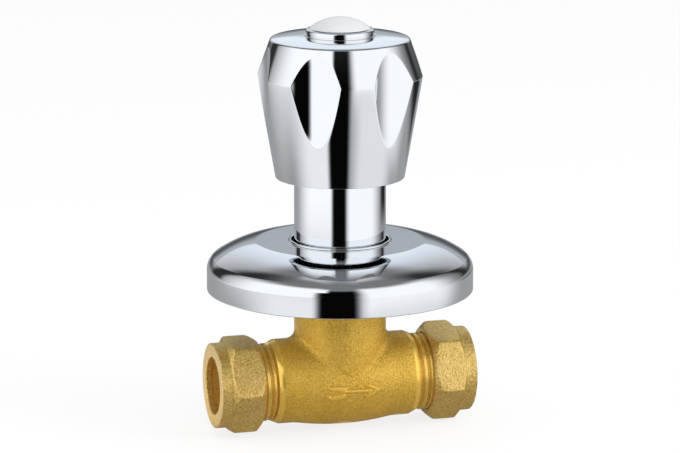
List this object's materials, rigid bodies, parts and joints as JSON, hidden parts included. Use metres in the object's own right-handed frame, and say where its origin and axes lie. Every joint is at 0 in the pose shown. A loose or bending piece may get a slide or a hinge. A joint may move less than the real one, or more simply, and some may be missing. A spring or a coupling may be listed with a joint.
{
  "type": "isolating valve",
  "caption": "Concealed screw-down isolating valve: cast brass body with compression ends, fluted crown handle, cover sleeve and sliding domed wall flange.",
  "frame": {"origin": "where the spindle axis passes through the finished wall face, at the centre of the flange's back rim", "axes": "+Z out of the wall along the spindle towards the handle, +X along the pipe with the flow"},
  "size_m": [0.0712, 0.0712, 0.1107],
  "materials": {
    "cast_brass": "sand-blasted casting",
    "nut_brass": "sand-blasted",
    "turned_brass": "turned",
    "chrome_plate": "polished plating",
    "index_cap": "polished plating",
    "black_rubber": "moulded",
    "washer_nylon": "moulded",
    "packing_white": "moulded",
    "screw_steel": "zinc plated"
  },
  "bodies": {
    "fixed_valve": {"valve_body": "cast_brass", "bonnet_washer": "washer_nylon", "bonnet": "turned_brass", "packing_washer": "turned_brass", "gland_packing": "packing_white", "gland_nut": "turned_brass", "cover_sleeve": "chrome_plate"},
    "sliding_flange": {"wall_flange": "chrome_plate", "flange_grip_ring": "black_rubber"},
    "jumper_valve": {"jumper": "turned_brass", "seat_washer": "black_rubber", "washer_nut": "turned_brass"},
    "spindle_and_handle": {"spindle": "turned_brass", "handle": "chrome_plate", "spline_bush": "turned_brass", "handle_screw": "screw_steel", "index_button": "index_cap"},
    "inlet_ring": {"inlet_olive": "turned_brass"},
    "inlet_coupling": {"inlet_nut": "nut_brass"},
    "outlet_ring": {"outlet_olive": "turned_brass"},
    "outlet_coupling": {"outlet_nut": "nut_brass"}
  },
  "joints": [
    {"name": "valve_lift", "type": "slide", "parent": "fixed_valve", "child": "jumper_valve", "axis": [0, 0, 1], "range_m": [0, 0.006]},
    {"name": "handle_turn", "type": "hinge", "parent": "jumper_valve", "child": "spindle_and_handle", "pos_m": [0, 0, -0.0245], "axis": [0, 0, 1], "range_deg": [0, 1080]},
    {"name": "flange_slide", "type": "slide", "parent": "fixed_valve", "child": "sliding_flange", "axis": [0, 0, 1], "range_m": [-0.01, 0.015]},
    {"name": "inlet_travel", "type": "slide", "parent": "fixed_valve", "child": "inlet_ring", "axis": [1, 0, 0], "range_m": [-0.00272, 0.00181]},
    {"name": "inlet_nut_turn", "type": "hinge", "parent": "inlet_ring", "child": "inlet_coupling", "pos_m": [-0.0353, 0, -0.0245], "axis": [1, 0, 0], "range_deg": [-540, 360]},
    {"name": "outlet_travel", "type": "slide", "parent": "fixed_valve", "child": "outlet_ring", "axis": [-1, 0, 0], "range_m": [-0.00272, 0.00181]},
    {"name": "outlet_nut_turn", "type": "hinge", "parent": "outlet_ring", "child": "outlet_coupling", "pos_m": [0.0353, 0, -0.0245], "axis": [-1, 0, 0], "range_deg": [-540, 360]}
  ],
  "couplings": [
    {"joint": "valve_lift", "follows": "handle_turn", "m_per_rad": 0.00031831},
    {"joint": "inlet_travel", "follows": "inlet_nut_turn", "m_per_rad": 0.00028871},
    {"joint": "outlet_travel", "follows": "outlet_nut_turn", "m_per_rad": 0.00028871}
  ]
}
